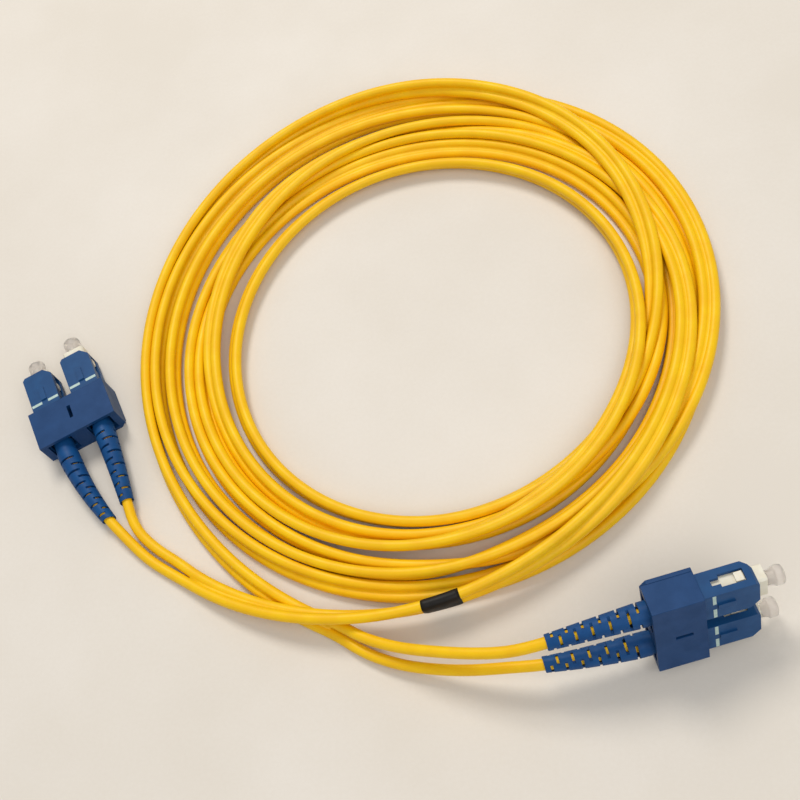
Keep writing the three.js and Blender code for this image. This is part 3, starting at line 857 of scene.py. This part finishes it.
FIBRE_PROFILE = [(0, -12.9), (.45, -12.9), (.45, 5.0), (0, 5.0)]
# name, CAD node, profile, look, body, rounding (mm)
TURNED_PIECES = (
    ("clear_dust_cap", "dust_cap", CAP_PROFILE, "clear_cap", "cap", 0.08),
    ("polished_ferrule", "ferrule", FERRULE_PROFILE, "zirconia", "ferrule_unit", 0.04),
    ("turned_flange", "ferrule_flange", FLANGE_PROFILE, "steel", "ferrule_unit", 0.06),
    ("turned_stop_ring", "stop_ring", STOP_PROFILE, "nickel_brass", "", 0.08),
    ("pressed_crimp_sleeve", "crimp_sleeve", CRIMP_PROFILE, "nickel_brass", "", 0.06),
    ("coated_fibre", "buffered_fibre", FIBRE_PROFILE, "white_buffer", "", 0.05),
)
# name, CAD node, look, body, rounding (m), placing
CAD_PIECES = (
    ("moulded_housing", "outer_housing", "blue_housing", "grip", 0.00028, plug_matrix),
    ("moulded_frame", "plug_frame", "ivory_frame", "", 0.00018, inner_matrix),
)
# name, CAD node, look, body, rounding (m)
CLIP_PIECES = (
    ("moulded_clip", "clip_body", "blue_clip", "grip", 0.0003),
    ("moulded_cover", "clip_cover", "blue_clip", "grip", 0.0003),
)
SPRING = {"radius": 1.65, "wire": 0.2, "rear": -3.0, "front": 5.7, "turns": 6}
SPRING_STEPS = 30               # a turn


def body_for(kind, label):
    return {"": "cord_and_frames", "grip": f"grip_{label[0]}"}.get(kind, f"{kind}_{label}")


def spring(label):
    """The spring behind the ferrule."""
    count = SPRING_STEPS * SPRING["turns"] + 1
    turn = np.linspace(0, 2 * math.pi * SPRING["turns"], count)
    z = np.linspace(SPRING["rear"], SPRING["front"], count)
    matrix = inner_matrix(label)
    points = [matrix @ Vector((SPRING["radius"] * math.cos(a), SPRING["radius"] * math.sin(a), h))
              for a, h in zip(turn, z)]
    wire = round_cord("wire", np.array([tuple(p) for p in points]), 2 * SPRING["wire"] * MM)
    piece = linked(f"wound_spring_{label}", bpy.data.meshes.new_from_object(wire))
    bpy.data.objects.remove(wire)
    painted(piece, "spring_steel", f"ferrule_spring_{label}")
    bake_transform(piece)


DASH = {"width": 3.3, "length": 0.85, "gap": 2.0, "z": 2.57, "thick": 0.06}


def key_face_marks(label):
    """Two pale printed dashes across the key face, just ahead of the clip."""
    mesh = bmesh.new()
    for side in (-1, 1):
        dash = bmesh.ops.create_cube(mesh, size=1)["verts"]
        bmesh.ops.scale(mesh, verts=dash, vec=(DASH["width"], DASH["thick"], DASH["length"]))
        offset = side * (DASH["width"] + DASH["gap"]) / 2
        bmesh.ops.translate(mesh, verts=dash, vec=(offset, HOUSING_HEIGHT / 2, DASH["z"]))
    data = bpy.data.meshes.new(f"printed_dashes_{label}")
    mesh.to_mesh(data)
    mesh.free()
    return placed(linked(data.name, data), plug_matrix(label))


for label in PLUGS:
    for name, cad, profile, look, kind, width in TURNED_PIECES:
        piece = rounded(turned(f"{name}_{label}", profile), width, **TURNED_ROUNDING)
        finished(placed(piece, inner_matrix(label)), look, body_for(kind, label), f"{cad}_{label}")
    finished(boot(label), "blue_boot", "cord_and_frames", f"boot_{label}")
    spring(label)
    finished(key_face_marks(label), "pale_ink", f"grip_{label[0]}")
for name, cad, look, kind, width, matrix_of in CAD_PIECES:
    shared = shared_mesh(f"{cad}_a1", width, matrix_of("a1"))
    for label in PLUGS:
        piece = placed(linked(f"{name}_{label}", shared.copy()), matrix_of(label))
        finished(piece, look, body_for(kind, label), f"{cad}_{label}")
for end in ENDS:
    for name, cad, look, kind, width in CLIP_PIECES:
        piece = from_cad(f"{name}_{end}", f"{cad}_{end}", width)
        finished(piece, look, body_for(kind, end), f"{cad}_{end}")


# ------------------------------------------------------------------ stage and light

FLOOR_SIZE = 8.0
LIGHTS_TOWARDS = (0, 0.03, 0)
KEY_LIGHT = {"at": (-.25, .75, 1.1), "size": .5, "power": 9, "colour": (1, .96, .9)}
FILL_LIGHT = {"at": (.6, -.6, 1.2), "size": 1.2, "power": 8, "colour": (.95, .97, 1)}
SKY = (.80, .80, .80, 1)
SKY_STRENGTH = 0.55


def floor():
    mesh = bpy.data.meshes.new("floor")
    half = FLOOR_SIZE / 2
    mesh.from_pydata([(-half, -half, 0), (half, -half, 0), (half, half, 0), (-half, half, 0)], [],
                     [(0, 1, 2, 3)])
    mesh.materials.append(LOOKS["floor"])
    linked("floor", mesh)


def soft_light(name, at, size, power, colour):
    data = bpy.data.lights.new(name, "AREA")
    data.shape = "DISK"
    data.size = size
    data.energy = power
    data.color = colour
    lamp = linked(name, data)
    lamp.location = at
    lamp.rotation_euler = (Vector(LIGHTS_TOWARDS) - Vector(at)).to_track_quat("-Z", "Y").to_euler()


def sky():
    world = bpy.data.worlds.new("studio")
    world.use_nodes = True
    background = world.node_tree.nodes["Background"]
    background.inputs["Color"].default_value = SKY
    background.inputs["Strength"].default_value = SKY_STRENGTH
    bpy.context.scene.world = world
    bpy.context.scene.view_settings.view_transform = "Standard"


floor()
soft_light("key_light", **KEY_LIGHT)
soft_light("fill_light", **FILL_LIGHT)
sky()
